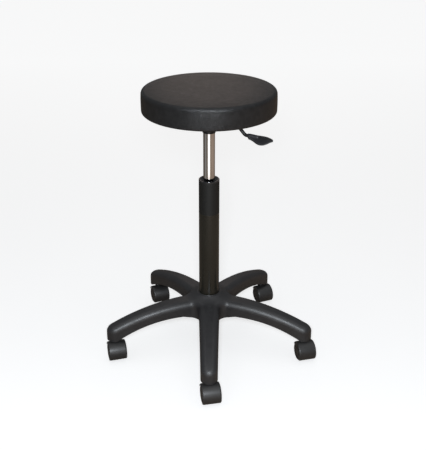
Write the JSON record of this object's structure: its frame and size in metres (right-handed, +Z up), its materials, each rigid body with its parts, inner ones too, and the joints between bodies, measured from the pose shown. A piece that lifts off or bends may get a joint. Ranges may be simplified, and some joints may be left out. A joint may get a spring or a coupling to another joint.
{
  "type": "rolling stool",
  "caption": "Round padded stool on a height-adjustable gas lift with a release lever, a bowed star base and hooded twin-wheel swivel casters",
  "frame": {"origin": "on the floor under the axis of the column", "axes": "+Z up along the column; +Y from the front arm towards the back; +X to the right seen from the front"},
  "size_m": [0.5188, 0.5077, 0.6714],
  "materials": {
    "seat_skin": "matte",
    "board": "matte",
    "zinc_steel": "satin",
    "black_steel": "satin",
    "column_paint": "gloss",
    "chrome": "polished",
    "ground_steel": "polished",
    "valve_brass": "satin",
    "seal_rubber": "matte",
    "guide_plastic": "satin",
    "base_nylon": "satin",
    "caster_plastic": "satin",
    "wheel_plastic": "satin",
    "lever_plastic": "satin"
  },
  "bodies": {
    "base": {"star_base": "base_nylon", "hub_ring": "zinc_steel", "column_tube": "column_paint", "guide_sleeve": "guide_plastic", "bearing_lower_race": "ground_steel", "caster_grip_rings": "zinc_steel", "front_caster_stem": "zinc_steel", "right_caster_stem": "zinc_steel", "back_right_caster_stem": "zinc_steel", "back_left_caster_stem": "zinc_steel", "left_caster_stem": "zinc_steel"},
    "spindle": {"piston_rod": "ground_steel", "piston": "valve_brass", "piston_ring": "seal_rubber", "bearing_upper_race": "ground_steel", "bearing_balls": "ground_steel", "ball_cage": "guide_plastic", "bump_stop": "seal_rubber", "rod_washer": "zinc_steel", "rod_clip": "zinc_steel"},
    "seat": {"seat_pad": "seat_skin", "seat_board": "board", "seat_t_nuts": "zinc_steel", "seat_bolts": "zinc_steel", "seat_washers": "zinc_steel", "seat_plate": "black_steel", "lever_bracket": "black_steel", "taper_socket": "black_steel", "lever_pivot_pin": "zinc_steel", "lever_pivot_clip": "zinc_steel", "lift_cylinder": "chrome", "valve_body": "valve_brass", "rod_guide": "valve_brass", "rod_seal": "seal_rubber"},
    "lever": {"lever_rocker": "black_steel", "lever_rod": "black_steel", "lever_paddle": "lever_plastic"},
    "release_pin": {"release_pin": "zinc_steel"},
    "front_caster": {"front_caster_hood": "caster_plastic", "front_caster_axle": "zinc_steel"},
    "front_wheel_left": {"front_wheel_left": "wheel_plastic"},
    "front_wheel_right": {"front_wheel_right": "wheel_plastic"},
    "right_caster": {"right_caster_hood": "caster_plastic", "right_caster_axle": "zinc_steel"},
    "right_wheel_left": {"right_wheel_left": "wheel_plastic"},
    "right_wheel_right": {"right_wheel_right": "wheel_plastic"},
    "back_right_caster": {"back_right_caster_hood": "caster_plastic", "back_right_caster_axle": "zinc_steel"},
    "back_right_wheel_left": {"back_right_wheel_left": "wheel_plastic"},
    "back_right_wheel_right": {"back_right_wheel_right": "wheel_plastic"},
    "back_left_caster": {"back_left_caster_hood": "caster_plastic", "back_left_caster_axle": "zinc_steel"},
    "back_left_wheel_left": {"back_left_wheel_left": "wheel_plastic"},
    "back_left_wheel_right": {"back_left_wheel_right": "wheel_plastic"},
    "left_caster": {"left_caster_hood": "caster_plastic", "left_caster_axle": "zinc_steel"},
    "left_wheel_left": {"left_wheel_left": "wheel_plastic"},
    "left_wheel_right": {"left_wheel_right": "wheel_plastic"}
  },
  "joints": [
    {"name": "seat_swivel", "type": "hinge", "parent": "base", "child": "spindle", "pos_m": [0, 0, 0.08268], "axis": [0, 0, 1], "continuous": true},
    {"name": "seat_lift", "type": "slide", "parent": "spindle", "child": "seat", "axis": [0, 0, 1], "range_m": [-0.11, 0.15]},
    {"name": "lever_pull", "type": "hinge", "parent": "seat", "child": "lever", "pos_m": [0.0381, -0.022, 0.60458], "axis": [-0.5, -0.866, 0], "range_deg": [0, 4.2], "stiffness_Nm_per_rad": 2, "springref_deg": -2.86},
    {"name": "release_pin_press", "type": "slide", "parent": "seat", "child": "release_pin", "axis": [0, 0, -1], "range_m": [0, 0.0035]},
    {"name": "front_caster_swivel", "type": "hinge", "parent": "base", "child": "front_caster", "pos_m": [0, -0.246, 0.0459], "axis": [0, 0, 1], "continuous": true},
    {"name": "front_wheel_left_spin", "type": "hinge", "parent": "front_caster", "child": "front_wheel_left", "pos_m": [0.00296, -0.26121, 0.0215], "axis": [0.9816, 0.1908, 0], "continuous": true},
    {"name": "front_wheel_right_spin", "type": "hinge", "parent": "front_caster", "child": "front_wheel_right", "pos_m": [0.00296, -0.26121, 0.0215], "axis": [0.9816, 0.1908, 0], "continuous": true},
    {"name": "right_caster_swivel", "type": "hinge", "parent": "base", "child": "right_caster", "pos_m": [0.23396, -0.07602, 0.0459], "axis": [0, 0, 1], "continuous": true},
    {"name": "right_wheel_left_spin", "type": "hinge", "parent": "right_caster", "child": "right_wheel_left", "pos_m": [0.23771, -0.09106, 0.0215], "axis": [0.9703, 0.2419, 0], "continuous": true},
    {"name": "right_wheel_right_spin", "type": "hinge", "parent": "right_caster", "child": "right_wheel_right", "pos_m": [0.23771, -0.09106, 0.0215], "axis": [0.9703, 0.2419, 0], "continuous": true},
    {"name": "back_right_caster_swivel", "type": "hinge", "parent": "base", "child": "back_right_caster", "pos_m": [0.1446, 0.19902, 0.0459], "axis": [0, 0, 1], "continuous": true},
    {"name": "back_right_wheel_left_spin", "type": "hinge", "parent": "back_right_caster", "child": "back_right_wheel_left", "pos_m": [0.1504, 0.18465, 0.0215], "axis": [0.9272, 0.3746, 0], "continuous": true},
    {"name": "back_right_wheel_right_spin", "type": "hinge", "parent": "back_right_caster", "child": "back_right_wheel_right", "pos_m": [0.1504, 0.18465, 0.0215], "axis": [0.9272, 0.3746, 0], "continuous": true},
    {"name": "back_left_caster_swivel", "type": "hinge", "parent": "base", "child": "back_left_caster", "pos_m": [-0.1446, 0.19902, 0.0459], "axis": [0, 0, 1], "continuous": true},
    {"name": "back_left_wheel_left_spin", "type": "hinge", "parent": "back_left_caster", "child": "back_left_wheel_left", "pos_m": [-0.13904, 0.18455, 0.0215], "axis": [0.9336, 0.3584, 0], "continuous": true},
    {"name": "back_left_wheel_right_spin", "type": "hinge", "parent": "back_left_caster", "child": "back_left_wheel_right", "pos_m": [-0.13904, 0.18455, 0.0215], "axis": [0.9336, 0.3584, 0], "continuous": true},
    {"name": "left_caster_swivel", "type": "hinge", "parent": "base", "child": "left_caster", "pos_m": [-0.23396, -0.07602, 0.0459], "axis": [0, 0, 1], "continuous": true},
    {"name": "left_wheel_left_spin", "type": "hinge", "parent": "left_caster", "child": "left_wheel_left", "pos_m": [-0.22969, -0.09092, 0.0215], "axis": [0.9613, 0.2756, 0], "continuous": true},
    {"name": "left_wheel_right_spin", "type": "hinge", "parent": "left_caster", "child": "left_wheel_right", "pos_m": [-0.22969, -0.09092, 0.0215], "axis": [0.9613, 0.2756, 0], "continuous": true}
  ],
  "couplings": [
    {"joint": "release_pin_press", "follows": "lever_pull", "m_per_rad": 0.044879}
  ]
}
